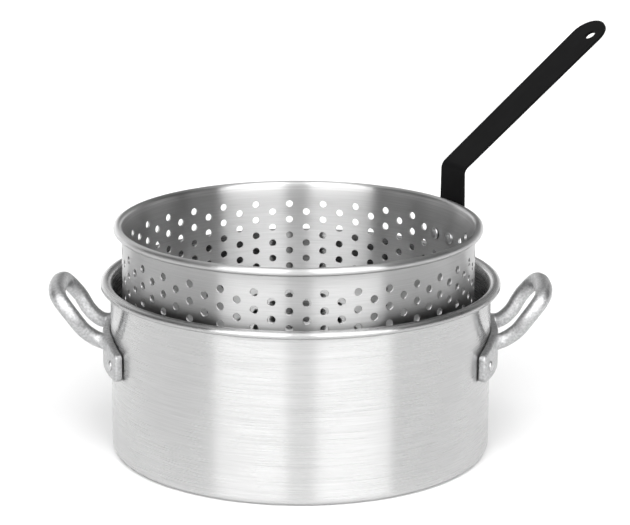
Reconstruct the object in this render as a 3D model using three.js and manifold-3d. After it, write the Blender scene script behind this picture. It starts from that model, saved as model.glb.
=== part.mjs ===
// Turkey fryer kit: a round aluminium fry pot with two riveted loop handles, and a lift-out basket
// with a long flat-bar handle that stands on the pot's floor.
// Millimetres, +Z up. The origin is the centre of the pot's underside and the loop handles lie on +-X.
import * as THREE from 'three';
import { mergeVertices } from 'three/addons/utils/BufferGeometryUtils.js';
import Module from 'manifold-3d';

const wasm = await Module();
wasm.setup();

// ---- Driving dimensions ----
const GAP = 0.3; // clearance left between pieces that touch
const ROUND_SEGMENTS = 64; // facets round the pot and the basket

const POT = {
  wallRadius: 152,
  wall: 2,
  height: 139.2,
  cornerRadius: 6,
  beadHalfWidth: 4.3,
  beadHalfHeight: 3.2,
};
const BASKET = {
  wallRadius: 140.5,
  wall: 1.5,
  height: 182,
  cornerRadius: 12,
  beadHalfWidth: 3.4,
  beadHalfHeight: 3.3,
  shift: -1.8, // the loose basket stands this far off the pot's axis, along X
};
const PAD = {
  thickness: 6.5,
  halfWidth: 63.5,
  bottom: 70,
  earTop: 93,
  middleTop: 99,
  middleHalfWidth: 36,
  earRadius: 4,
};
const LOOP = {
  sectionRadius: 6.1,
  sectionSides: 12,
  steps: 44,
};
const POT_RIVET = {
  offset: 52, // sideways from the handle's middle
  height: 81,
  shankRadius: 2.4,
  headRadius: 4,
  headHeight: 2,
  innerHeadRadius: 5,
  innerHeadHeight: 2.4,
};
const STRAP = {
  azimuth: 31.1, // degrees from +X towards +Y
  footWidth: 34,
  bendWidth: 31.2,
  tipWidth: 35.3,
  thickness: 2.5,
  bottom: 146,
  bend: 211.7, // height where the grip leans outwards
  gripSlope: 36.2,
  gripLength: 183.2,
  bendRadius: 8,
  holeRadius: 4.6,
  holeFromTip: 17,
  holeSideways: -4.9, // the hanging hole is nearer the bar's front edge
};
const BASKET_RIVET = {
  spacing: 21,
  height: 154.5,
  shankRadius: 2.4,
  headRadius: 4.9,
  headHeight: 1.9,
};

const basketFloor = POT.wall + GAP;
const beadTop = basketFloor + BASKET.height;

// ---- Materials ----
function metal(color, roughness, metalness) {
  return new THREE.MeshStandardMaterial({ color, roughness, metalness });
}

const brushedAluminium = metal(0xc9cacb, 0.32, 0.95);
const castAluminium = metal(0xb4b5b6, 0.42, 0.9);
const rivetAluminium = metal(0xd2d3d4, 0.28, 0.95);
const blackSteel = metal(0x121213, 0.5, 0.3);

// ---- Booleans ----
function toSolid(geometry) {
  const bare = geometry.clone();
  bare.deleteAttribute('normal');
  bare.deleteAttribute('uv');
  const welded = mergeVertices(bare, 1e-4);
  return new wasm.Manifold(new wasm.Mesh({
    numProp: 3,
    vertProperties: new Float32Array(welded.attributes.position.array),
    triVerts: new Uint32Array(welded.index.array),
  }));
}

function toGeometry(solid) {
  const mesh = solid.getMesh();
  const geometry = new THREE.BufferGeometry();
  geometry.setAttribute('position', new THREE.BufferAttribute(mesh.vertProperties, 3));
  geometry.setIndex(new THREE.BufferAttribute(mesh.triVerts, 1));
  geometry.computeVertexNormals();
  return geometry;
}

function cutAll(solid, cutters) {
  return cutters.reduce((left, cutter) => left.subtract(cutter), solid);
}

// ---- Shape helpers ----
function arc(cx, cy, rx, ry, fromDegrees, toDegrees, steps) {
  const points = [];
  for (let i = 0; i <= steps; i += 1) {
    const angle = THREE.MathUtils.degToRad(fromDegrees + ((toDegrees - fromDegrees) * i) / steps);
    points.push(new THREE.Vector2(cx + rx * Math.cos(angle), cy + ry * Math.sin(angle)));
  }
  return points;
}

// Turns an outline in (radius, height) about Z.
function turned(profile, segments = ROUND_SEGMENTS) {
  return new THREE.LatheGeometry(profile, segments).rotateX(Math.PI / 2);
}

// Turns an outline in (radius, distance) about the X axis, distance running along +X.
function turnedAboutX(profile, segments) {
  return new THREE.LatheGeometry(profile, segments).rotateZ(-Math.PI / 2);
}

function extruded(shape, depth) {
  return new THREE.ExtrudeGeometry(shape, { depth, bevelEnabled: false, curveSegments: 10 });
}

// A straight round cutter along X, between two distances from the Z axis, turned to an azimuth.
function radialCutter(radius, from, to, y, z, azimuthDegrees) {
  const profile = [
    new THREE.Vector2(0, from),
    new THREE.Vector2(radius, from),
    new THREE.Vector2(radius, to),
    new THREE.Vector2(0, to),
  ];
  const geometry = turnedAboutX(profile, 16).translate(0, y, z);
  return toSolid(geometry.rotateZ(THREE.MathUtils.degToRad(azimuthDegrees)));
}

// ---- Round vessels: a floor, a corner arc, a straight wall and a rolled rim bead ----
function vesselProfile(vessel) {
  const inner = vessel.wallRadius - vessel.wall;
  const corner = vessel.cornerRadius;
  const beadRadius = inner + 1 + vessel.beadHalfWidth;
  const beadHeight = vessel.height - vessel.beadHalfHeight;
  const innerCorner = corner - vessel.wall;
  const wallIntoBead = Math.acos((vessel.wallRadius - beadRadius) / vessel.beadHalfWidth);
  const beadStart = -THREE.MathUtils.radToDeg(wallIntoBead);
  return [
    new THREE.Vector2(0, 0),
    ...arc(vessel.wallRadius - corner, corner, corner, corner, -90, 0, 5),
    ...arc(beadRadius, beadHeight, vessel.beadHalfWidth, vessel.beadHalfHeight, beadStart, 150, 11),
    new THREE.Vector2(inner, beadHeight - vessel.beadHalfHeight),
    ...arc(vessel.wallRadius - corner, corner, innerCorner, innerCorner, 0, -90, 4),
    new THREE.Vector2(0, vessel.wall),
  ];
}

function potGeometry(rivetAzimuths) {
  const holes = rivetAzimuths.map((azimuth) => radialCutter(
    POT_RIVET.shankRadius + GAP,
    POT.wallRadius - 12,
    POT.wallRadius + 6,
    0,
    POT_RIVET.height,
    azimuth,
  ));
  return toGeometry(cutAll(toSolid(turned(vesselProfile(POT))), holes));
}

function basketGeometry() {
  const holes = [-1, 1].map((side) => radialCutter(
    BASKET_RIVET.shankRadius + GAP,
    BASKET.wallRadius - 12,
    BASKET.wallRadius + 6,
    (side * BASKET_RIVET.spacing) / 2,
    BASKET_RIVET.height - basketFloor,
    STRAP.azimuth,
  ));
  return toGeometry(cutAll(toSolid(turned(vesselProfile(BASKET))), holes));
}

// ---- Cast loop handle: a curved riveting pad with a U-shaped loop rising from it ----
function padOutline() {
  const shape = new THREE.Shape();
  const radius = PAD.earRadius;
  shape.moveTo(-PAD.halfWidth + radius, PAD.bottom);
  shape.lineTo(PAD.halfWidth - radius, PAD.bottom);
  shape.absarc(PAD.halfWidth - radius, PAD.bottom + radius, radius, -Math.PI / 2, 0);
  shape.absarc(PAD.halfWidth - radius, PAD.earTop - radius, radius, 0, Math.PI / 2);
  shape.lineTo(PAD.middleHalfWidth, PAD.middleTop);
  shape.lineTo(-PAD.middleHalfWidth, PAD.middleTop);
  shape.absarc(-PAD.halfWidth + radius, PAD.earTop - radius, radius, Math.PI / 2, Math.PI);
  shape.absarc(-PAD.halfWidth + radius, PAD.bottom + radius, radius, Math.PI, Math.PI * 1.5);
  return shape;
}

// The outline lies in the YZ plane and is pushed along +X through the handle side of a ring.
function padSolid() {
  const inner = POT.wallRadius + GAP;
  const outer = POT.wallRadius + PAD.thickness;
  const ring = toSolid(turned([
    new THREE.Vector2(inner, PAD.bottom - 1),
    new THREE.Vector2(outer, PAD.bottom - 1),
    new THREE.Vector2(outer, PAD.middleTop + 1),
    new THREE.Vector2(inner, PAD.middleTop + 1),
    new THREE.Vector2(inner, PAD.bottom - 1),
  ]));
  const toYZ = new THREE.Matrix4().makeBasis(
    new THREE.Vector3(0, 1, 0),
    new THREE.Vector3(0, 0, 1),
    new THREE.Vector3(1, 0, 0),
  );
  const slab = extruded(padOutline(), outer).applyMatrix4(toYZ).translate(PAD.thickness, 0, 0);
  return toSolid(slab).intersect(ring);
}

// Stations of one arm from the pad to the middle of the grip: distance from the pot's axis,
// sideways place and height. The arms draw together where they meet the pad.
function loopCurve() {
  const arm = [
    [155.5, 30, 92.6],
    [162, 27, 94.4],
    [171, 29, 102.2],
    [180, 33, 115.2],
    [190.3, 28, 127.9],
    [194, 14, 131.6],
  ];
  const middle = [194.6, 0, 131.7];
  const farArm = arm.map(([x, y, z]) => [x, -y, z]).reverse();
  const points = [...arm, middle, ...farArm].map((place) => new THREE.Vector3(...place));
  return new THREE.CatmullRomCurve3(points, false, 'centripetal');
}

function loopHandleGeometry() {
  const section = new THREE.Shape(arc(
    0,
    0,
    LOOP.sectionRadius,
    LOOP.sectionRadius,
    0,
    360 - 360 / LOOP.sectionSides,
    LOOP.sectionSides - 1,
  ));
  const loop = new THREE.ExtrudeGeometry(section, {
    steps: LOOP.steps,
    extrudePath: loopCurve(),
    bevelEnabled: false,
  });
  // The arm ends are rounded tubes inside the pad, so what would reach the pot's wall is cut away.
  const clearance = toSolid(turned([
    new THREE.Vector2(0, 0),
    new THREE.Vector2(POT.wallRadius + GAP, 0),
    new THREE.Vector2(POT.wallRadius + GAP, POT.height),
    new THREE.Vector2(0, POT.height),
  ]));
  const holes = [-1, 1].map((side) => radialCutter(
    POT_RIVET.shankRadius + GAP,
    POT.wallRadius - 6,
    POT.wallRadius + PAD.thickness + 6,
    0,
    POT_RIVET.height,
    side * rivetAngle,
  ));
  const joined = padSolid().add(toSolid(loop)).subtract(clearance);
  return toGeometry(cutAll(joined, holes));
}

// ---- Rivets: a domed head on each side of a shank, drawn along +X at their real distance ----
function rivetGeometry(shankRadius, outer, inner) {
  return turnedAboutX([
    ...arc(0, inner.face, inner.radius, inner.height, -90, 0, 3),
    new THREE.Vector2(shankRadius, inner.face),
    new THREE.Vector2(shankRadius, outer.face),
    ...arc(0, outer.face, outer.radius, outer.height, 0, 90, 3),
  ], 12);
}

const rivetAngle = THREE.MathUtils.radToDeg(Math.asin(POT_RIVET.offset / POT.wallRadius));

function potRivetGeometry() {
  return rivetGeometry(
    POT_RIVET.shankRadius,
    {
      face: POT.wallRadius + PAD.thickness + GAP,
      radius: POT_RIVET.headRadius,
      height: POT_RIVET.headHeight,
    },
    {
      face: POT.wallRadius - POT.wall - 0.5,
      radius: POT_RIVET.innerHeadRadius,
      height: POT_RIVET.innerHeadHeight,
    },
  );
}

// ---- Basket handle: one flat bar, riveted outside the wall, joggled past the bead ----
const strapFoot = BASKET.wallRadius + GAP; // distance of the bar's inner face at the rivets
const strapRise = BASKET.wallRadius - BASKET.wall + 1 + 2 * BASKET.beadHalfWidth + GAP;

// Centre line of the bar in (distance from the axis, height).
function strapCentreLine() {
  const half = STRAP.thickness / 2;
  const slope = THREE.MathUtils.degToRad(STRAP.gripSlope);
  const foot = strapFoot + half;
  const rise = strapRise + half;
  const joggleTop = beadTop - 2 * BASKET.beadHalfHeight - 1;
  const start = new THREE.Vector2(rise, STRAP.bend);
  const along = new THREE.Vector2(Math.cos(slope), Math.sin(slope));
  const trim = STRAP.bendRadius * Math.tan((Math.PI / 2 - slope) / 2);
  const centre = new THREE.Vector2(rise + STRAP.bendRadius, STRAP.bend - trim);
  const bend = arc(centre.x, centre.y, STRAP.bendRadius, STRAP.bendRadius, 180, 90 + STRAP.gripSlope, 6);
  return [
    new THREE.Vector2(foot, STRAP.bottom),
    new THREE.Vector2(foot, joggleTop - 12),
    new THREE.Vector2(rise, joggleTop),
    ...bend,
    start.clone().addScaledVector(along, STRAP.gripLength),
  ];
}

// Offsets an open line to one side by mitred joints.
function offsetLine(points, distance) {
  return points.map((point, i) => {
    const before = points[Math.max(i - 1, 0)];
    const after = points[Math.min(i + 1, points.length - 1)];
    const into = point.clone().sub(before).normalize();
    const out = after.clone().sub(point).normalize();
    const incoming = i === 0 ? out : into;
    const outgoing = i === points.length - 1 ? into : out;
    const normal = new THREE.Vector2(-incoming.y - outgoing.y, incoming.x + outgoing.x).normalize();
    const facing = new THREE.Vector2(-incoming.y, incoming.x);
    return point.clone().addScaledVector(normal, distance / normal.dot(facing));
  });
}

// The bar seen square to its grip: narrowest at the bend, widening to a half-round tip with the
// hanging hole. The outline starts past the foot.
function gripOutline() {
  const tip = STRAP.tipWidth / 2;
  const bend = STRAP.bendWidth / 2;
  const foot = STRAP.footWidth / 2;
  const tipCentre = STRAP.gripLength - tip;
  const footEnd = -(STRAP.bend - STRAP.bottom) * Math.sin(THREE.MathUtils.degToRad(STRAP.gripSlope));
  const shape = new THREE.Shape();
  shape.moveTo(-STRAP.gripLength, -foot);
  shape.lineTo(footEnd, -foot);
  shape.lineTo(0, -bend);
  shape.lineTo(tipCentre, -tip);
  shape.absarc(tipCentre, 0, tip, -Math.PI / 2, Math.PI / 2);
  shape.lineTo(0, bend);
  shape.lineTo(footEnd, foot);
  shape.lineTo(-STRAP.gripLength, foot);
  const hole = new THREE.Path();
  const holeAlong = STRAP.gripLength - STRAP.holeFromTip;
  hole.absarc(holeAlong, STRAP.holeSideways, STRAP.holeRadius, 0, Math.PI * 2);
  shape.holes.push(hole);
  return shape;
}

function strapGeometry() {
  const half = STRAP.thickness / 2;
  const centreLine = strapCentreLine();
  const side = new THREE.Shape([
    ...offsetLine(centreLine, -half),
    ...offsetLine(centreLine, half).reverse(),
  ]);
  // Side view in the XZ plane, pushed across the bar's width.
  const bar = extruded(side, STRAP.tipWidth).rotateX(Math.PI / 2).translate(0, STRAP.tipWidth / 2, 0);
  // A thick plate square to the grip, with the bar's outline.
  const slope = THREE.MathUtils.degToRad(STRAP.gripSlope);
  const reach = STRAP.gripLength * 2;
  const plate = extruded(gripOutline(), reach).translate(0, 0, -reach / 2);
  plate.rotateY(-slope).translate(strapRise + half, 0, STRAP.bend);
  const holes = [-1, 1].map((sign) => radialCutter(
    BASKET_RIVET.shankRadius + GAP,
    strapFoot - 6,
    strapFoot + 10,
    (sign * BASKET_RIVET.spacing) / 2,
    BASKET_RIVET.height,
    0,
  ));
  return toGeometry(cutAll(toSolid(bar).intersect(toSolid(plate)), holes));
}

function basketRivetGeometry() {
  const inside = BASKET.wallRadius - BASKET.wall;
  const farEdge = BASKET_RIVET.spacing / 2 + BASKET_RIVET.headRadius;
  const wallCurvesIn = inside - Math.sqrt(inside ** 2 - farEdge ** 2);
  return rivetGeometry(
    BASKET_RIVET.shankRadius,
    {
      face: strapFoot + STRAP.thickness + GAP,
      radius: BASKET_RIVET.headRadius,
      height: BASKET_RIVET.headHeight,
    },
    {
      face: inside - wallCurvesIn - 2 * GAP,
      radius: BASKET_RIVET.headRadius,
      height: BASKET_RIVET.headHeight,
    },
  );
}

// ---- Assembly ----
function addMesh(parent, name, geometry, material) {
  const mesh = new THREE.Mesh(geometry, material);
  mesh.name = name;
  parent.add(mesh);
  return mesh;
}

const group = new THREE.Group();
const sides = [
  { name: 'right', azimuth: 0 },
  { name: 'left', azimuth: 180 },
];
const ends = [
  { name: 'front', angle: -rivetAngle },
  { name: 'back', angle: rivetAngle },
];

const rivetAzimuths = sides.flatMap((side) => ends.map((end) => side.azimuth + end.angle));
addMesh(group, 'fry_pot', potGeometry(rivetAzimuths), brushedAluminium);

for (const side of sides) {
  const handle = new THREE.Group();
  handle.rotation.z = THREE.MathUtils.degToRad(side.azimuth);
  group.add(handle);
  addMesh(handle, `${side.name}_loop_handle`, loopHandleGeometry(), castAluminium);
  for (const end of ends) {
    const sign = side.azimuth === 0 ? 1 : -1;
    const rivet = addMesh(handle, `${side.name}_handle_${end.name}_rivet`, potRivetGeometry(), rivetAluminium);
    rivet.rotation.z = THREE.MathUtils.degToRad(end.angle * sign);
    rivet.position.z = POT_RIVET.height;
  }
}

const basket = addMesh(group, 'basket', basketGeometry(), brushedAluminium);
basket.position.set(BASKET.shift, 0, basketFloor);

const basketHandle = new THREE.Group();
basketHandle.rotation.z = THREE.MathUtils.degToRad(STRAP.azimuth);
basketHandle.position.x = BASKET.shift;
group.add(basketHandle);
addMesh(basketHandle, 'basket_handle', strapGeometry(), blackSteel);
for (const [name, sign] of [['front', -1], ['back', 1]]) {
  const rivet = addMesh(basketHandle, `basket_handle_${name}_rivet`, basketRivetGeometry(), rivetAluminium);
  rivet.position.set(0, (sign * BASKET_RIVET.spacing) / 2, BASKET_RIVET.height);
}

export default group;
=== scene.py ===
"""The looks of a fry pot with a lift-out perforated basket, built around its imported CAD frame.

Metres, +Z up. The pot's axis is Z, its underside is at z = 0 and its loop handles lie on +X and -X.
"""

import math

import bmesh
import bpy
from mathutils import Matrix, Vector
from mathutils.geometry import delaunay_2d_cdt


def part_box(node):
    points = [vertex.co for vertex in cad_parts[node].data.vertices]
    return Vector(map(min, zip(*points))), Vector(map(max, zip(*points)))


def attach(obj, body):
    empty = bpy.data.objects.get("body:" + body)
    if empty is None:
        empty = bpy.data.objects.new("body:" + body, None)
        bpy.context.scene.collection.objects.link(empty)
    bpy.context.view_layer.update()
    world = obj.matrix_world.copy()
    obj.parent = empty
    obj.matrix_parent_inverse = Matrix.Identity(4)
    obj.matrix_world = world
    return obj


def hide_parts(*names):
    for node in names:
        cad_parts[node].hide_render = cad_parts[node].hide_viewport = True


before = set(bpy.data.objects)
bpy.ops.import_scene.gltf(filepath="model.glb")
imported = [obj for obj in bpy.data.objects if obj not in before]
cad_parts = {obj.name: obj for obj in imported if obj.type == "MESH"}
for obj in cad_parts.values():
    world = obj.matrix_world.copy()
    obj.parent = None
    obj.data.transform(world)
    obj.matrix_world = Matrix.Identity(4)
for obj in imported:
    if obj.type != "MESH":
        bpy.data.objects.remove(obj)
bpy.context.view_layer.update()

MM = 0.001
GAP = 0.3 * MM  # between pieces that touch
ROUND_STEPS = 256  # round the pot and the basket
WELD = 1e-6  # vertices closer than this become one

# Sheet metal, as in the CAD. A bead's inner edge stands a little outside the wall's inner face.
BEAD_INSET = 1 * MM
CORNER_STEPS = 10
CURL_STEPS = 22
CURL_START, CURL_END = 172, -112  # degrees round the bead, from the wall over the top to the cut edge
LEAN_START = 2.2  # half heights of the bead from its middle down to where the wall leans out
POT_SHEET, POT_CORNER = 2 * MM, 6 * MM
POT_BEAD = (4.3 * MM, 3.2 * MM)  # half width, half height
BASKET_SHEET, BASKET_CORNER = 1.5 * MM, 12 * MM
BASKET_BEAD = (3.4 * MM, 3.3 * MM)

# Perforation: staggered rows of round holes, punched flat and then rolled.
HOLES_PER_ROW = 32
HOLE_ROWS = 22
ROW_PITCH = 6.8 * MM
HOLE_RADIUS = 3.1 * MM
HOLE_EASE = 0.25 * MM  # the rounded edge on the punch side
FIRST_ROW_BELOW_TOP = 20 * MM
PATTERN_TURN = math.radians(2.8)  # where the pattern starts, round from +X
PATTERN_DRIFT = math.radians(3.8)  # how far the rolled pattern is out of step round the basket
PATTERN_WIDEST = math.radians(134)  # where the columns stand farthest apart
PATTERN_SLANT = 1.3 * MM  # the rows sink this much towards one side and rise opposite
PATTERN_LOWEST = math.radians(-38)
CELL_STEPS = 4  # mesh steps along each side of a hole's cell
FLOOR_HOLES_WITHIN = 116 * MM  # of the basket's axis

# Loop handles. The pad's ears are lower than its middle.
PAD_THICKNESS = 6.5 * MM
PAD_EAR_TOP, PAD_MIDDLE_TOP = 93 * MM, 99 * MM
PAD_MIDDLE_HALF, PAD_CORNER = 36 * MM, 4 * MM
PAD_COLUMNS = 64

# Each arm's round section flares at its root and swells towards the middle of the grip. Its line
# runs from the pad to the grip in mm: out from the pot's wall, sideways, and up from the table.
ARM_RADIUS, GRIP_RADIUS = 6.2 * MM, 7.3 * MM
ROOT_FLARE = 0.6 * MM
ROOT_END, SWELL_START = 0.15, 0.35  # shares of the way from the pad to the middle of the grip
ARM_LINE = (
    (0, 31, 93),
    (9.5, 27.5, 95),
    (19, 29, 102.2),
    (28, 33, 115.2),
    (38, 28, 127.6),
    (41.3, 14, 130.9),
)
GRIP_MIDDLE = (41.8, 0, 130.9)
LOOP_SIDES = 20
LOOP_STEPS = 8  # between two points of the line
SQUARE_TO_LOOP = Vector((0.62, 0, -0.78))  # roughly square to the leaning loop
CAST_VOXEL = 0.8 * MM
TUMBLE_ROUNDS = 14

# Basket handle, a flat bar that widens from its bend to its tip.
BAR_AZIMUTH = math.radians(31.1)
BAR_FOOT_WIDTH, BAR_BEND_WIDTH, BAR_TIP_WIDTH = 34 * MM, 31.2 * MM, 35.3 * MM
BAR_THICKNESS = 2.5 * MM
BAR_FOOT, BAR_BEND = 146 * MM, 211.7 * MM
BAR_SLOPE = math.radians(36.2)
BAR_BEND_RADIUS = 8 * MM
GRIP_LENGTH = 183.2 * MM
JOGGLE_BELOW_BEAD, JOGGLE_HEIGHT, JOGGLE_KNEE = 1 * MM, 12 * MM, 3 * MM
TIP_PLATE = 34 * MM  # the last stretch of the grip, with the hanging hole in it
HANG_HOLE_RADIUS, HANG_HOLE_FROM_TIP, HANG_HOLE_SIDEWAYS = 4.5 * MM, 17 * MM, -4.9 * MM
KNEE_STEPS, BEND_STEPS, GRIP_STEPS, TIP_STEPS = 4, 10, 16, 32
BAR_STEPS_ACROSS = 8
BAR_EDGE = 0.45 * MM

# Rivets.
SHANK_RADIUS = 2.4 * MM
POT_HEAD = (4 * MM, 2 * MM)  # radius, height
POT_INNER_HEAD = (5 * MM, 2.4 * MM)
BASKET_HEAD = (4.9 * MM, 1.9 * MM)
HEAD_RIM = 0.35 * MM  # the upright rim below a head's dome
POT_HEAD_GAP = 0.1 * MM  # between the inner heads and the pot's wall
RIVET_STEPS, DOME_STEPS = 40, 8


# ---- Where the CAD puts things ----
# Each wall's outer radius comes from the radius over its rim bead.
pot_low, pot_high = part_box("fry_pot")
basket_low, basket_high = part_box("basket")
basket_axis = (basket_low + basket_high) / 2
basket_rim = basket_high.x - basket_axis.x
pot_wall = pot_high.x - 2 * POT_BEAD[0] - BEAD_INSET + POT_SHEET
basket_wall = basket_rim - 2 * BASKET_BEAD[0] - BEAD_INSET + BASKET_SHEET


# ---- Small geometry helpers ----
def arc(centre, radii, start, end, steps):
    """Points on an ellipse in (radius, height), from start to end in degrees."""
    angles = [math.radians(start + (end - start) * i / steps) for i in range(steps + 1)]
    return [
        Vector((centre[0] + radii[0] * math.cos(a), centre[1] + radii[1] * math.sin(a)))
        for a in angles
    ]


def turn_to_azimuth(azimuth):
    return Matrix.Rotation(azimuth, 4, "Z")


def on_basket_axis():
    """From the basket's own axis to the shared frame."""
    return Matrix.Translation((basket_axis.x, basket_axis.y, 0))


def offset_line(points, distance):
    """The open line moved to its left by distance, with mitred joints."""
    moved = []
    for i, point in enumerate(points):
        into = (point - points[i - 1]).normalized() if i else None
        out = (points[i + 1] - point).normalized() if i + 1 < len(points) else None
        into, out = into or out, out or into
        left = Vector((-into.y, into.x))
        mitre = (left + Vector((-out.y, out.x))).normalized()
        moved.append(point + mitre * (distance / mitre.dot(left)))
    return moved


def make_object(name, bm, smooth_angle=None):
    """A shown object from bm. Edges sharper than smooth_angle, in degrees, stay crisp."""
    bmesh.ops.recalc_face_normals(bm, faces=bm.faces)
    for face in bm.faces:
        face.smooth = True
    if smooth_angle is not None:
        for edge in bm.edges:
            if len(edge.link_faces) == 2:
                edge.smooth = edge.calc_face_angle(0) < math.radians(smooth_angle)
    mesh = bpy.data.meshes.new(name)
    bm.to_mesh(mesh)
    bm.free()
    obj = bpy.data.objects.new(name, mesh)
    bpy.context.scene.collection.objects.link(obj)
    return obj


def lathe(bm, profile, angles):
    """Turns a line in (radius, height) round Z. Its ends may lie on the axis."""
    rings = []
    for radius, height in profile:
        if radius < 1e-7:
            rings.append([bm.verts.new((0, 0, height))])
        else:
            rings.append(
                [bm.verts.new((radius * math.cos(a), radius * math.sin(a), height)) for a in angles]
            )
    count = len(angles)
    for low, high in zip(rings, rings[1:]):
        for i in range(count):
            j = (i + 1) % count
            corners = [low[i % len(low)], low[j % len(low)], high[j % len(high)], high[i % len(high)]]
            unique = list(dict.fromkeys(corners))
            if len(unique) > 2:
                bm.faces.new(unique)


def even_angles(count):
    return [2 * math.pi * i / count for i in range(count)]


# ---- Sheet metal vessels ----
def vessel_sides(wall, sheet, corner, bead, bottom, top):
    """(outside, inside) faces of a vessel, both from the axis out to the curled rim's cut edge."""
    middle = wall - sheet / 2
    bead_centre = (wall - sheet + BEAD_INSET + bead[0], top - bead[1])
    curl = (bead[0] - sheet / 2, bead[1] - sheet / 2)
    corner_centre = (wall - corner, bottom + corner)
    corner_radius = corner - sheet / 2
    line = [Vector((0, bottom + sheet / 2))]
    line += arc(corner_centre, (corner_radius, corner_radius), -90, 0, CORNER_STEPS)
    line += [Vector((middle, bead_centre[1] - LEAN_START * bead[1]))]
    line += arc(bead_centre, curl, CURL_START, CURL_END, CURL_STEPS)
    return offset_line(line, -sheet / 2), offset_line(line, sheet / 2)


def build_pot():
    outside, inside = vessel_sides(pot_wall, POT_SHEET, POT_CORNER, POT_BEAD, pot_low.z, pot_high.z)
    bm = bmesh.new()
    lathe(bm, outside + inside[::-1], even_angles(ROUND_STEPS))
    return make_object("pot_shell", bm, smooth_angle=50)


# ---- Perforated basket ----
def pattern_angle(share):
    """Angle of a place on the rolled sheet, from its share of the way round."""
    even = 2 * math.pi * share + PATTERN_TURN
    return even + PATTERN_DRIFT * math.sin(even - PATTERN_WIDEST)


def pattern_drop(angle):
    """How far the slanting rows are below their mean height."""
    return PATTERN_SLANT * math.cos(angle - PATTERN_LOWEST)


def under_bar(angle, height):
    """Whether a hole at this place would meet the handle's foot. The sheet is left whole there."""
    across = basket_wall * math.sin(angle - BAR_AZIMUTH)
    beside = abs(across) > BAR_FOOT_WIDTH / 2 + HOLE_RADIUS or math.cos(angle - BAR_AZIMUTH) < 0
    return not beside and height - pattern_drop(angle) > BAR_FOOT - HOLE_RADIUS


def on_wall(radius, angle, height):
    return Vector((radius * math.cos(angle), radius * math.sin(angle), height))


def hole_ring(radius):
    """Offsets of a hole's corners, across and up, in step with the corners of its cell."""
    steps = 4 * CELL_STEPS
    angles = [math.radians(-135 + 360 * i / steps) for i in range(steps)]
    return [(radius * math.cos(a), radius * math.sin(a)) for a in angles]


def bridge(bm, ring, other):
    for i in range(len(ring)):
        j = (i + 1) % len(ring)
        bm.faces.new((ring[i], ring[j], other[j], other[i]))


def perforated_band(bm, outer, inner, top):
    """Both faces of the wall's perforated band, with a tube through it at each hole.

    Returns the height of the band's lower edge."""
    columns = 2 * HOLES_PER_ROW
    steps_round = columns * CELL_STEPS
    bottom = top - HOLE_ROWS * ROW_PITCH
    middle = (outer + inner) / 2
    angles = [pattern_angle(c / steps_round) for c in range(steps_round)]
    heights = [bottom + r * ROW_PITCH / CELL_STEPS for r in range(HOLE_ROWS * CELL_STEPS + 1)]
    grids = {}
    for radius in (outer, inner):
        grids[radius] = [[bm.verts.new(on_wall(radius, a, z)) for a in angles] for z in heights]

    def cell_border(grid, column, row):
        left, low, n = column * CELL_STEPS, row * CELL_STEPS, CELL_STEPS
        places = [(left + i, low) for i in range(n)]
        places += [(left + n, low + i) for i in range(n)]
        places += [(left + n - i, low + n) for i in range(n)]
        places += [(left, low + n - i) for i in range(n)]
        return [grid[r][c % steps_round] for c, r in places]

    def rim(radius, centre_angle, centre_height, hole_radius):
        return [
            bm.verts.new(on_wall(radius, centre_angle + across / middle, centre_height + up))
            for across, up in hole_ring(hole_radius)
        ]

    for row in range(HOLE_ROWS):
        for column in range(columns):
            angle = pattern_angle((column + 0.5) / columns)
            height = bottom + (row + 0.5) * ROW_PITCH
            if (HOLE_ROWS - 1 - row + column) % 2 == 0 and not under_bar(angle, height):
                eased = rim(outer, angle, height, HOLE_RADIUS + HOLE_EASE / 2)
                near = rim(outer - HOLE_EASE, angle, height, HOLE_RADIUS - HOLE_EASE / 2)
                far = rim(inner, angle, height, HOLE_RADIUS)
                bridge(bm, cell_border(grids[outer], column, row), eased)
                bridge(bm, eased, near)
                bridge(bm, near, far)
                bridge(bm, far, cell_border(grids[inner], column, row))
            else:
                for grid in grids.values():
                    for r in range(row * CELL_STEPS, (row + 1) * CELL_STEPS):
                        for c in range(column * CELL_STEPS, (column + 1) * CELL_STEPS):
                            d = (c + 1) % steps_round
                            bm.faces.new((grid[r][c], grid[r][d], grid[r + 1][d], grid[r + 1][c]))
    return bottom


def filled_plate(bm, border, holes, heights, place):
    """Two flat faces with round holes, and a tube at each hole.

    border and holes are loops of (x, y). place turns (x, y, height) into a point."""
    loops = [border, *holes]
    flat = [Vector(p) for loop in loops for p in loop]
    edges, first = [], 0
    for loop in loops:
        edges += [(first + i, first + (i + 1) % len(loop)) for i in range(len(loop))]
        first += len(loop)
    inside_border = 1
    points, _, faces, *_ = delaunay_2d_cdt(flat, edges, [], inside_border, 1e-9)
    centres = [sum((Vector(p) for p in hole), Vector((0, 0))) / len(hole) for hole in holes]
    reaches = [(Vector(hole[0]) - centre).length for hole, centre in zip(holes, centres)]

    def solid(face):
        """Whether the triangle is outside every hole."""
        middle = sum((points[i] for i in face), Vector((0, 0))) / len(face)
        return all((middle - c).length > reach * 0.995 for c, reach in zip(centres, reaches))

    kept = [face for face in faces if solid(face)]
    sheets = [[bm.verts.new(place(p.x, p.y, height)) for p in points] for height in heights]
    for sheet in sheets:
        for face in kept:
            bm.faces.new([sheet[i] for i in face])
    first = len(border)
    for hole in holes:
        ring = range(first, first + len(hole))
        bridge(bm, [sheets[0][i] for i in ring], [sheets[1][i] for i in ring])
        first += len(hole)
    return sheets


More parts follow.
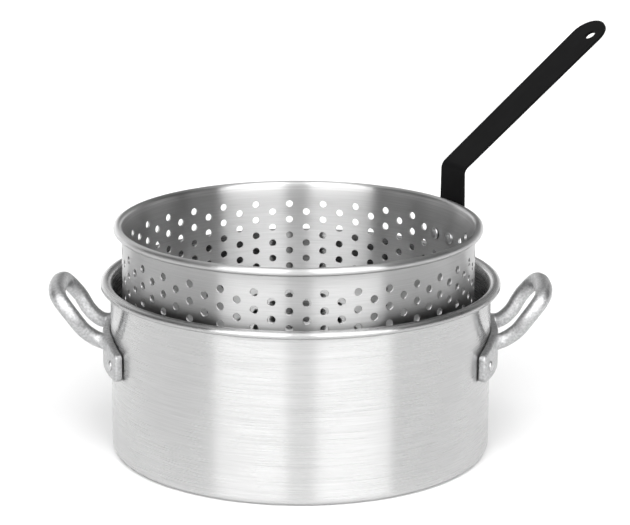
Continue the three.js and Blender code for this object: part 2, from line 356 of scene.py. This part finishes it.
def floor_holes():
    across = math.pi * basket_wall / HOLES_PER_ROW
    reach = int(FLOOR_HOLES_WITHIN / min(across, ROW_PITCH)) + 1
    centres = [
        (i * across, j * ROW_PITCH)
        for i in range(-reach, reach + 1)
        for j in range(-reach, reach + 1)
        if (i + j) % 2 == 0 and math.hypot(i * across, j * ROW_PITCH) < FLOOR_HOLES_WITHIN
    ]
    return [[(x + dx, y + dy) for dx, dy in hole_ring(HOLE_RADIUS)] for x, y in centres]


def build_basket():
    outside, inside = vessel_sides(
        basket_wall, BASKET_SHEET, BASKET_CORNER, BASKET_BEAD, basket_low.z, basket_high.z
    )
    angles = [pattern_angle(i / ROUND_STEPS) for i in range(ROUND_STEPS)]
    top = basket_high.z - FIRST_ROW_BELOW_TOP + ROW_PITCH / 2
    outer, inner = basket_wall, basket_wall - BASKET_SHEET
    bm = bmesh.new()
    bottom = perforated_band(bm, outer, inner, top)
    corner_end = CORNER_STEPS + 1  # the floor's centre comes before the corner arc
    floor_edge = outside[1].x
    rim_loop = outside[corner_end + 1 :] + inside[corner_end + 1 :][::-1]
    lathe(bm, [Vector((outer, top)), *rim_loop, Vector((inner, top))], angles)
    lathe(bm, [*outside[1 : corner_end + 1], Vector((outer, bottom))], angles)
    lathe(bm, [*inside[1 : corner_end + 1], Vector((inner, bottom))], angles)
    filled_plate(
        bm,
        [(floor_edge * math.cos(a), floor_edge * math.sin(a)) for a in angles],
        floor_holes(),
        (outside[1].y, inside[1].y),
        lambda x, y, height: Vector((x, y, height)),
    )
    bmesh.ops.remove_doubles(bm, verts=bm.verts, dist=WELD)
    # The rows slant, and the band's mesh slants with them.
    for vert in bm.verts:
        if bottom - GAP < vert.co.z < top + GAP:
            vert.co.z -= pattern_drop(math.atan2(vert.co.y, vert.co.x))
    bm.transform(on_basket_axis())
    return make_object("perforated_basket", bm, smooth_angle=35)


# ---- Cast loop handles ----
def smooth_path(points, steps):
    """A centripetal Catmull-Rom line through points."""
    ends = [2 * points[0] - points[1], *points, 2 * points[-1] - points[-2]]
    line = []
    for k in range(len(points) - 1):
        p = ends[k : k + 4]
        t = [0.0]
        for a, b in zip(p, p[1:]):
            t.append(t[-1] + math.sqrt((b - a).length))
        for i in range(steps):
            now = t[1] + (t[2] - t[1]) * i / steps

            def blend(a, b, start, end):
                return a.lerp(b, (now - start) / (end - start))

            first = [blend(p[n], p[n + 1], t[n], t[n + 1]) for n in range(3)]
            second = [blend(first[n], first[n + 1], t[n], t[n + 2]) for n in range(2)]
            line.append(blend(second[0], second[1], t[1], t[2]))
    line.append(points[-1].copy())
    return line


def tube(bm, line, radii, sides):
    """A closed round bar along line."""
    rings = []
    for i, point in enumerate(line):
        along = (line[min(i + 1, len(line) - 1)] - line[max(i - 1, 0)]).normalized()
        side = along.cross(SQUARE_TO_LOOP).normalized()
        up = side.cross(along)
        ring = []
        for k in range(sides):
            a = 2 * math.pi * k / sides
            ring.append(bm.verts.new(point + (side * math.cos(a) + up * math.sin(a)) * radii[i]))
        rings.append(ring)
    for ring, following in zip(rings, rings[1:]):
        bridge(bm, ring, following)
    bm.faces.new(rings[0])
    bm.faces.new(rings[-1])


def pad_height_range(sideways, pad_low, pad_high):
    """(bottom, top) of the pad at a sideways place. The ears are lower than the middle."""
    ear_flat = pad_high.y - PAD_CORNER
    share = max(0.0, min(1.0, (abs(sideways) - PAD_MIDDLE_HALF) / (ear_flat - PAD_MIDDLE_HALF)))
    top = PAD_MIDDLE_TOP + (PAD_EAR_TOP - PAD_MIDDLE_TOP) * share
    past = max(0.0, abs(sideways) - ear_flat)
    drop = PAD_CORNER - math.sqrt(max(0.0, PAD_CORNER**2 - past**2))
    return pad_low.z + drop, top - drop


def arm_radius(share):
    """The section's radius, from the pad at 0 to the middle of the grip at 1."""
    swell = max(0.0, (share - SWELL_START) / (1 - SWELL_START))
    root = max(0.0, 1 - share / ROOT_END)
    return ARM_RADIUS + (GRIP_RADIUS - ARM_RADIUS) * swell**1.5 + ROOT_FLARE * root**2


def loop_point(place, side=1):
    """A point of the right handle's loop, from its place in mm. side is -1 on the far arm."""
    out, sideways, height = place
    return Vector((pot_wall + out * MM, side * sideways * MM, height * MM))


def build_loop_handle(name, node, azimuth):
    low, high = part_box(node)
    half = high.y
    inner, outer = pot_wall + GAP, pot_wall + PAD_THICKNESS
    bm = bmesh.new()
    # The curved pad, in columns from ear to ear.
    rings = []
    for i in range(PAD_COLUMNS + 1):
        sideways = half * math.sin(math.pi / 2 * (2 * i / PAD_COLUMNS - 1))
        bottom, top = pad_height_range(sideways, low, high)
        angle = math.asin(sideways / pot_wall)
        corners = [(inner, bottom), (outer, bottom), (outer, top), (inner, top)]
        rings.append([bm.verts.new(on_wall(r, angle, z)) for r, z in corners])
    for ring, following in zip(rings, rings[1:]):
        bridge(bm, ring, following)
    bm.faces.new(rings[0])
    bm.faces.new(rings[-1])
    # The loop: the arms leave the pad, rise outwards and meet in a rounded grip.
    points = [loop_point(place) for place in (*ARM_LINE, GRIP_MIDDLE)]
    points += [loop_point(place, -1) for place in reversed(ARM_LINE)]
    line = smooth_path(points, LOOP_STEPS)
    half_count = len(line) // 2
    radii = [arm_radius(1 - abs(i - half_count) / half_count) for i in range(len(line))]
    tube(bm, line, radii, LOOP_SIDES)
    bm.transform(turn_to_azimuth(azimuth))
    obj = make_object(name, bm)
    cast = obj.modifiers.new("cast", "REMESH")
    cast.mode = "VOXEL"
    cast.voxel_size = CAST_VOXEL
    cast.use_smooth_shade = True
    tumble = obj.modifiers.new("tumbled", "SMOOTH")
    tumble.factor = 0.5
    tumble.iterations = TUMBLE_ROUNDS
    return obj


# ---- Rivets ----
def rivet_profile(inner_face, outer_face, inner_head, outer_head):
    """Line in (radius, distance along the rivet) with a domed head at each end."""
    inner_dome = (inner_head[0], inner_head[1] - HEAD_RIM)
    outer_dome = (outer_head[0], outer_head[1] - HEAD_RIM)
    inner = arc((0, inner_face - HEAD_RIM), inner_dome, -90, 0, DOME_STEPS)
    outer = arc((0, outer_face + HEAD_RIM), outer_dome, 0, 90, DOME_STEPS)
    shank = [
        Vector((inner_head[0], inner_face)),
        Vector((SHANK_RADIUS, inner_face)),
        Vector((SHANK_RADIUS, outer_face)),
        Vector((outer_head[0], outer_face)),
    ]
    inner[0].x = outer[-1].x = 0
    return inner + shank + outer


def build_rivet(name, profile, azimuth, sideways, height, axis=Vector((0, 0, 0))):
    """A rivet along the direction azimuth, sideways from an upright axis and at a height."""
    bm = bmesh.new()
    lathe(bm, profile, even_angles(RIVET_STEPS))
    along_x = Matrix.Rotation(math.pi / 2, 4, "Y")
    turned = turn_to_azimuth(azimuth) @ Matrix.Translation((0, sideways, height)) @ along_x
    bm.transform(Matrix.Translation((axis.x, axis.y, 0)) @ turned)
    return make_object(name, bm, smooth_angle=40)


def build_pot_rivet(name, node):
    low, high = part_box(node)
    centre = (low + high) / 2
    inside = pot_wall - POT_SHEET - POT_HEAD_GAP
    profile = rivet_profile(inside, pot_wall + PAD_THICKNESS, POT_INNER_HEAD, POT_HEAD)
    return build_rivet(name, profile, math.atan2(centre.y, centre.x), 0, centre.z)


def build_basket_rivet(name, node):
    low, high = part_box(node)
    centre = (low + high) / 2 - Vector((basket_axis.x, basket_axis.y, 0))
    sideways = centre.y * math.cos(BAR_AZIMUTH) - centre.x * math.sin(BAR_AZIMUTH)
    inside = basket_wall - BASKET_SHEET
    wall_curves_in = inside - math.sqrt(inside**2 - (abs(sideways) + BASKET_HEAD[0]) ** 2)
    outside = basket_wall + GAP + BAR_THICKNESS
    profile = rivet_profile(inside - wall_curves_in, outside, BASKET_HEAD, BASKET_HEAD)
    return build_rivet(name, profile, BAR_AZIMUTH, sideways, centre.z, basket_axis)


# ---- Basket handle ----
def bar_line():
    """The bar's middle line in (distance from the axis, height), from its foot to the grip.

    Below the basket's bead it joggles outwards. Returns the line up to the grip, and the point
    and the direction that the grip starts from."""
    foot = basket_wall + GAP + BAR_THICKNESS / 2
    rise = basket_rim + GAP + BAR_THICKNESS / 2
    joggle_top = basket_high.z - 2 * BASKET_BEAD[1] - JOGGLE_BELOW_BEAD
    trim = BAR_BEND_RADIUS * math.tan((math.pi / 2 - BAR_SLOPE) / 2)
    centre = (rise + BAR_BEND_RADIUS, BAR_BEND - trim)
    slope = math.degrees(BAR_SLOPE)
    joggle_low = Vector((foot, joggle_top - JOGGLE_HEIGHT))
    joggle_high = Vector((rise, joggle_top))
    lean = (joggle_high - joggle_low).normalized()
    line = [Vector((foot, BAR_FOOT))]
    for corner, before, after in (
        (joggle_low, Vector((0, 1)), lean),
        (joggle_high, lean, Vector((0, 1))),
    ):
        start, end = corner - before * JOGGLE_KNEE, corner + after * JOGGLE_KNEE
        for i in range(KNEE_STEPS + 1):
            t = i / KNEE_STEPS
            line.append(start.lerp(corner, t).lerp(corner.lerp(end, t), t))
    line += arc(centre, (BAR_BEND_RADIUS, BAR_BEND_RADIUS), 180, 90 + slope, BEND_STEPS)
    along = Vector((math.cos(BAR_SLOPE), math.sin(BAR_SLOPE)))
    start = Vector((rise, BAR_BEND))
    return line, start, along


def bar_half_width(reach):
    """Half the bar's width at a distance from its bend, negative below it."""
    if reach < 0:
        share = reach / (BAR_FOOT - BAR_BEND)
        return (BAR_BEND_WIDTH + (BAR_FOOT_WIDTH - BAR_BEND_WIDTH) * share) / 2
    share = min(1.0, reach / (GRIP_LENGTH - BAR_TIP_WIDTH / 2))
    return (BAR_BEND_WIDTH + (BAR_TIP_WIDTH - BAR_BEND_WIDTH) * share) / 2


def build_bar():
    line, start, along = bar_line()
    half_thickness = BAR_THICKNESS / 2
    tip_start = GRIP_LENGTH - TIP_PLATE
    steps = BAR_STEPS_ACROSS
    across = [2 * i / steps - 1 for i in range(steps + 1)]
    first_on_grip = (line[-1] - start).dot(along)
    reaches = [min(0.0, p.y - BAR_BEND) for p in line]
    for i in range(1, GRIP_STEPS + 1):
        reach = first_on_grip + (tip_start - first_on_grip) * i / GRIP_STEPS
        line.append(start + along * reach)
        reaches.append(reach)
    bm = bmesh.new()
    sides = []
    for side in (-1, 1):
        edge = offset_line(line, side * half_thickness)
        rows = [
            [bm.verts.new((p.x, y * bar_half_width(reach), p.y)) for y in across]
            for p, reach in zip(edge, reaches)
        ]
        for row, following in zip(rows, rows[1:]):
            for i in range(steps):
                bm.faces.new((row[i], row[i + 1], following[i + 1], following[i]))
        sides.append(rows)
    inner, outer = sides
    for end in (0, steps):
        for i in range(len(inner) - 1):
            bm.faces.new((inner[i][end], inner[i + 1][end], outer[i + 1][end], outer[i][end]))
    for i in range(steps):
        bm.faces.new((inner[0][i], inner[0][i + 1], outer[0][i + 1], outer[0][i]))
    # The rounded tip with its hanging hole.
    tip_half = BAR_TIP_WIDTH / 2
    border = [(tip_start, y * bar_half_width(tip_start)) for y in across]
    tip_arc = arc((GRIP_LENGTH - tip_half, 0), (tip_half, tip_half), 90, -90, TIP_STEPS)
    border += [tuple(p) for p in tip_arc]
    hole = [
        (
            GRIP_LENGTH - HANG_HOLE_FROM_TIP + HANG_HOLE_RADIUS * math.cos(a),
            HANG_HOLE_SIDEWAYS + HANG_HOLE_RADIUS * math.sin(a),
        )
        for a in even_angles(TIP_STEPS)
    ]
    normal = Vector((-along.y, along.x))

    def on_grip(distance, y, height):
        p = start + along * distance + normal * height
        return Vector((p.x, y, p.y))

    plates = filled_plate(bm, border, [hole], (-half_thickness, half_thickness), on_grip)
    for i in range(steps, len(border)):
        j = (i + 1) % len(border)
        bm.faces.new((plates[0][i], plates[0][j], plates[1][j], plates[1][i]))
    bmesh.ops.remove_doubles(bm, verts=bm.verts, dist=WELD)
    bm.transform(on_basket_axis() @ turn_to_azimuth(BAR_AZIMUTH))
    obj = make_object("basket_bar", bm, smooth_angle=50)
    ease = obj.modifiers.new("eased edges", "BEVEL")
    ease.width = BAR_EDGE
    ease.segments = 3
    ease.limit_method = "ANGLE"
    ease.angle_limit = math.radians(50)
    ease.harden_normals = True
    return obj


# ---- Materials ----
INSIDE_PAINTED_SHADE_DEPTH = 60 * MM  # the inner face's brightness changes over this depth below the rim: painted shade, darker towards the rim


class Nodes:
    """A tree of shader nodes, added one call at a time."""

    def __init__(self, tree):
        self.tree = tree

    def feed(self, socket, value):
        if isinstance(value, bpy.types.NodeSocket):
            self.tree.links.new(value, socket)
        else:
            socket.default_value = value

    def maths(self, operation, first, second=0.0):
        node = self.tree.nodes.new("ShaderNodeMath")
        node.operation = operation
        self.feed(node.inputs[0], first)
        self.feed(node.inputs[1], second)
        return node.outputs[0]


class Shader(Nodes):
    """A material's nodes, in object space."""

    def __init__(self, name, **fixed):
        self.material = bpy.data.materials.new(name)
        self.material.use_nodes = True
        super().__init__(self.material.node_tree)
        self.surface = self.tree.nodes["Principled BSDF"]
        for socket, value in fixed.items():
            self.surface.inputs[socket.replace("_", " ")].default_value = value

    def wire(self, socket, value):
        """Feeds the material's surface."""
        self.feed(self.surface.inputs[socket], value)

    def add(self, kind, settings=None, **inputs):
        node = self.tree.nodes.new("ShaderNode" + kind)
        for key, value in (settings or {}).items():
            setattr(node, key, value)
        for key, value in inputs.items():
            self.feed(node.inputs[key.replace("_", " ")], value)
        return node

    def noise(self, vector, scale, detail=2.0, roughness=0.5):
        node = self.add("TexNoise", Vector=vector, Scale=scale, Detail=detail, Roughness=roughness)
        return node.outputs["Fac"]

    def spread(self, value, low, high, from_low=0.3, from_high=0.7):
        """value, mostly from_low to from_high, spread to low to high and held there past them."""
        node = self.tree.nodes.new("ShaderNodeMapRange")
        for socket, v in zip(node.inputs, (value, from_low, from_high, low, high)):
            self.feed(socket, v)
        return node.outputs[0]

    def choose(self, test, no, yes):
        """no where test is 0, yes where it is 1."""
        return self.spread(test, no, yes, 0.0, 1.0)

    def tint(self, factor, dark, light):
        """A colour between dark and light."""
        node = self.tree.nodes.new("ShaderNodeMix")
        node.data_type = "RGBA"
        self.feed(node.inputs["Factor"], factor)
        colour_a, colour_b = node.inputs[6], node.inputs[7]
        colour_a.default_value = (*dark, 1)
        colour_b.default_value = (*light, 1)
        return node.outputs[2]

    def bump(self, height, distance, strength=1.0, normal=None):
        node = self.add("Bump", Height=height, Distance=distance, Strength=strength)
        if normal is not None:
            self.feed(node.inputs["Normal"], normal)
        return node.outputs["Normal"]

    def place(self):
        """Where a point is, in metres."""
        return self.add("TexCoord").outputs["Object"]


def brushed_aluminium(name, axis, wall, top, bead_height, outside, inside, bead, roughness):
    """Sheet aluminium brushed round its axis: fine hairlines, faint streaks and soft smears.

    wall is the radius between the two faces. outside is how bright the outer face is. inside is
    the inner face's painted brightness, deep down and at the rim: painted light and shade set apart
    from the outer face, and painted shade that darkens it towards the rim. bead is the bead's
    painted brightness, beneath and above, with painted shade that darkens it beneath.
    roughness is for the outside and the inside."""
    shader = Shader(name, Metallic=1.0, Anisotropic=1.0, Anisotropic_Rotation=0.25)
    tangent = shader.add("Tangent", {"direction_type": "RADIAL", "axis": "Z"}).outputs[0]
    shader.wire("Tangent", tangent)
    centred = shader.add("VectorMath", {"operation": "SUBTRACT"})
    shader.feed(centred.inputs[0], shader.place())
    shader.feed(centred.inputs[1], (axis.x, axis.y, 0))
    x, y, z = shader.add("SeparateXYZ", Vector=centred.outputs[0]).outputs
    squares = shader.maths("ADD", shader.maths("MULTIPLY", x, x), shader.maths("MULTIPLY", y, y))
    radius = shader.maths("SQRT", squares)

    def lathe_marks(around, across):
        """Noise that changes slowly round the axis and fast across it, in waves per metre."""
        along_profile = shader.maths("ADD", radius, z)
        joined = shader.add(
            "CombineXYZ",
            X=shader.maths("MULTIPLY", x, around),
            Y=shader.maths("MULTIPLY", y, around),
            Z=shader.maths("MULTIPLY", along_profile, across),
        )
        return shader.noise(joined.outputs[0], 1.0, 2.0, 0.55)

    hairlines = lathe_marks(30.0, 2400.0)
    streaks = lathe_marks(9.0, 500.0)
    smears = shader.noise(shader.place(), 14.0, 3.0, 0.55)
    fine = shader.maths("MULTIPLY", hairlines, 0.75)
    broad = shader.maths("MULTIPLY", streaks, 0.25)
    mixed = shader.maths("ADD", fine, broad)

    on_inside = shader.maths("LESS_THAN", radius, wall)
    bead_bottom = top - bead_height
    on_bead = shader.maths("GREATER_THAN", z, bead_bottom)
    # Painted shade: the inner face is darker towards the rim.
    inner_painted_light_and_shade = shader.spread(z, *inside, top - INSIDE_PAINTED_SHADE_DEPTH, top)
    # Painted shade: the bead's outer face is darker beneath, where the curl shades it.
    bead_painted_shade = shader.spread(z, *bead, bead_bottom, bead_bottom + 0.4 * bead_height)
    # Painted light and shade: the inner face gets its own brightness, apart from the outer face.
    wall_bright = shader.choose(on_inside, outside, inner_painted_light_and_shade)
    bead_bright = shader.choose(on_inside, bead_painted_shade, bead[1])
    bright = shader.choose(on_bead, wall_bright, bead_bright)
    shader.wire("Base Color", shader.maths("MULTIPLY", bright, shader.spread(mixed, 0.9, 1.1)))

    lined = shader.spread(mixed, -0.02, 0.02)
    smeared = shader.spread(smears, -0.02, 0.02)
    uneven = shader.maths("ADD", lined, smeared)
    shader.wire("Roughness", shader.maths("ADD", uneven, shader.choose(on_inside, *roughness)))
    shader.wire("Normal", shader.bump(hairlines, 0.006 * MM, 0.4))
    return shader.material


def cast_aluminium(name):
    """Tumbled casting: small dents and ripples, greyer in the hollows."""
    shader = Shader(name, Metallic=1.0)
    place = shader.place()
    ripples = shader.noise(place, 90.0, 2.0, 0.5)
    dents = shader.noise(place, 520.0, 3.0, 0.6)
    grain = shader.noise(place, 2200.0, 2.0, 0.6)
    dark, light = (0.33, 0.332, 0.335), (0.56, 0.562, 0.565)
    shader.wire("Base Color", shader.tint(shader.spread(dents, 0, 1), dark, light))
    uneven = shader.maths("ADD", shader.spread(grain, 0.0, 0.08), shader.spread(ripples, 0.36, 0.5))
    shader.wire("Roughness", uneven)
    broad = shader.bump(ripples, 0.9 * MM, 0.8)
    medium = shader.bump(dents, 0.16 * MM, 0.8, broad)
    shader.wire("Normal", shader.bump(grain, 0.02 * MM, 0.8, medium))
    return shader.material


def rivet_aluminium(name):
    """Pressed rivet heads: smooth, with faint dimples and a dull bloom."""
    shader = Shader(name, Metallic=1.0)
    place = shader.place()
    bloom = shader.noise(place, 500.0, 3.0, 0.6)
    grain = shader.noise(place, 3000.0, 2.0, 0.6)
    dark, light = (0.42, 0.422, 0.425), (0.6, 0.602, 0.605)
    shader.wire("Base Color", shader.tint(shader.spread(bloom, 0, 1), dark, light))
    shader.wire("Roughness", shader.spread(bloom, 0.28, 0.42))
    dimples = shader.bump(bloom, 0.1 * MM, 0.7)
    shader.wire("Normal", shader.bump(grain, 0.01 * MM, 0.8, dimples))
    return shader.material


def black_coating(name):
    """A baked black coating on steel: a fine orange peel, slightly uneven gloss."""
    shader = Shader(name, Metallic=0.0, Specular_IOR_Level=0.05)
    place = shader.place()
    peel = shader.noise(place, 900.0, 3.0, 0.55)
    cloud = shader.noise(place, 60.0, 3.0, 0.5)
    dark, light = (0.0022, 0.0022, 0.0024), (0.0036, 0.0036, 0.0038)
    shader.wire("Base Color", shader.tint(shader.spread(cloud, 0, 1), dark, light))
    shader.wire("Roughness", shader.spread(cloud, 0.46, 0.58))
    shader.wire("Normal", shader.bump(peel, 0.04 * MM, 0.5))
    return shader.material


# ---- Studio ----
# A long lens from the front, a little above the rims.
CAMERA_PLACE = Vector((0.0004, -1.8585, 0.6450))
CAMERA_AIM = Vector((0.0114, 0.0, 0.1504))
CAMERA_ROLL = math.radians(0.19)
CAMERA_LENS = 137.76
SENSOR_WIDTH = 36
FLOOR_HALF = 12.0
FARTHEST_SEEN = 60.0


def make_camera():
    """The camera stands on the -Y side and looks slightly down."""
    data = bpy.data.cameras.new("camera")
    data.lens = CAMERA_LENS
    data.sensor_width = SENSOR_WIDTH
    data.clip_end = FARTHEST_SEEN
    camera = bpy.data.objects.new("camera", data)
    facing = (CAMERA_AIM - CAMERA_PLACE).to_track_quat("-Z", "Y")
    turned = facing.to_matrix().to_4x4() @ Matrix.Rotation(CAMERA_ROLL, 4, "Z")
    camera.matrix_world = Matrix.Translation(CAMERA_PLACE) @ turned
    bpy.context.scene.collection.objects.link(camera)
    bpy.context.scene.camera = camera


def make_floor():
    bm = bmesh.new()
    corners = [(-1, -1), (1, -1), (1, 1), (-1, 1)]
    bm.faces.new([bm.verts.new((x * FLOOR_HALF, y * FLOOR_HALF, pot_low.z)) for x, y in corners])
    floor = make_object("studio_floor", bm)
    shader = Shader("studio white", Roughness=0.9, Specular_IOR_Level=0.1)
    shader.wire("Base Color", (0.93, 0.93, 0.93, 1))
    floor.data.materials.append(shader.material)


class Sky(Nodes):
    """Soft studio light as a surrounding: panels of brightness by direction."""

    def __init__(self):
        world = bpy.data.worlds.new("studio")
        bpy.context.scene.world = world
        world.use_nodes = True
        super().__init__(world.node_tree)
        self.background = self.tree.nodes["Background"]
        direction = self.tree.nodes.new("ShaderNodeTexCoord").outputs["Generated"]
        split = self.tree.nodes.new("ShaderNodeSeparateXYZ")
        self.tree.links.new(direction, split.inputs[0])
        x, y, z = split.outputs
        # Degrees round from the side that the camera is on, and degrees above the horizon.
        towards_camera = self.maths("MULTIPLY", y, -1.0)
        round_about = self.maths("ARCTAN2", x, towards_camera)
        self.azimuth = self.maths("MULTIPLY", round_about, 180 / math.pi)
        self.elevation = self.maths("MULTIPLY", self.maths("ARCSINE", z), 180 / math.pi)

    def ramp(self, value, start, end):
        """0 at start and 1 at end. Either may be the larger."""
        node = self.tree.nodes.new("ShaderNodeMapRange")
        node.interpolation_type = "SMOOTHSTEP"
        ends = (0.0, 1.0) if start < end else (1.0, 0.0)
        for socket, v in zip(node.inputs, (value, min(start, end), max(start, end), *ends)):
            self.feed(socket, v)
        return node.outputs[0]

    def window(self, value, low, high, soft):
        """1 from low to high and 0 outside, with edges that fade over soft to either side."""
        rising = self.ramp(value, low - soft, low + soft)
        falling = self.ramp(value, high + soft, high - soft)
        return self.maths("MULTIPLY", rising, falling)

    def panel(self, azimuths, elevations, soft, brightness):
        wide = self.window(self.azimuth, *azimuths, soft[0])
        tall = self.window(self.elevation, *elevations, soft[1])
        return self.maths("MULTIPLY", self.maths("MULTIPLY", wide, tall), brightness)


def make_light():
    sky = Sky()
    # Elevations in degrees, and how softly each kind of panel ends: sideways, and up and down.
    tall, middling, low = (-10, 72), (-10, 50), (-10, 9.5)
    crisp, soft, faint = (0.8, 8), (8, 10), (4, 2)
    lights = [
        sky.panel((-51.5, -8), tall, crisp, 3.7),  # the two soft boxes beside the camera
        sky.panel((9.5, 54.5), tall, crisp, 3.8),
        sky.panel((-8, 9.5), tall, crisp, 1.4),  # what shows between them
        sky.panel((-175, -128), middling, soft, 0.9),  # weaker ones behind, brighter on the left
        sky.panel((135, 170), middling, soft, 0.35),
        sky.maths("MULTIPLY", sky.ramp(sky.elevation, 38, 70), 0.85),  # overhead
        sky.panel((50, 190), low, faint, 0.85),  # a pale wall far off, round the sides and the back
        sky.panel((-190, -50), low, faint, 0.85),
    ]
    total = 0.06  # what is left between the panels
    for light in lights:
        total = sky.maths("ADD", light, total)
    sky.tree.links.new(total, sky.background.inputs["Strength"])
    sky.background.inputs["Color"].default_value = (1, 1, 1, 1)


# ---- Assembly ----
def show(piece, node, body, material):
    """Puts the piece in the place of a CAD node, on a body, in its material."""
    piece.data.materials.append(material)
    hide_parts(node)
    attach(piece, body)


make_camera()
make_floor()
make_light()

pot_metal = brushed_aluminium(
    "pot brushed aluminium",
    Vector((0, 0, 0)),
    pot_wall - POT_SHEET / 2,
    pot_high.z,
    2 * POT_BEAD[1],
    outside=0.54,
    # Painted shade: the inner face is darker than the outer one, and darker still at the rim.
    inside=(0.48, 0.34),
    # Painted shade: the bead is darker beneath.
    bead=(0.3, 0.48),
    roughness=(0.275, 0.275),
)
basket_metal = brushed_aluminium(
    "basket brushed aluminium",
    basket_axis,
    basket_wall - BASKET_SHEET / 2,
    basket_high.z,
    2 * BASKET_BEAD[1],
    outside=0.42,
    # Painted light: the inner face is brighter than the outer one deep down. Painted shade: it is
    # darker at the rim.
    inside=(0.64, 0.44),
    # Painted shade: the bead is darker beneath.
    bead=(0.3, 0.52),
    roughness=(0.31, 0.36),
)
cast_metal = cast_aluminium("cast aluminium")
rivet_metal = rivet_aluminium("rivet aluminium")
coating = black_coating("black coating")

show(build_pot(), "fry_pot", "pot", pot_metal)
show(build_basket(), "basket", "basket", basket_metal)
show(build_bar(), "basket_handle", "basket", coating)

for side, azimuth in (("right", 0.0), ("left", math.pi)):
    node = f"{side}_loop_handle"
    loop = build_loop_handle(f"{side}_cast_loop", node, azimuth)
    show(loop, node, "pot", cast_metal)
    for end in ("front", "back"):
        node = f"{side}_handle_{end}_rivet"
        rivet = build_pot_rivet(f"{side}_{end}_rivet", node)
        show(rivet, node, "pot", rivet_metal)

for end in ("front", "back"):
    node = f"basket_handle_{end}_rivet"
    rivet = build_basket_rivet(f"bar_{end}_rivet", node)
    show(rivet, node, "basket", rivet_metal)

bpy.context.scene.view_settings.view_transform = "Standard"
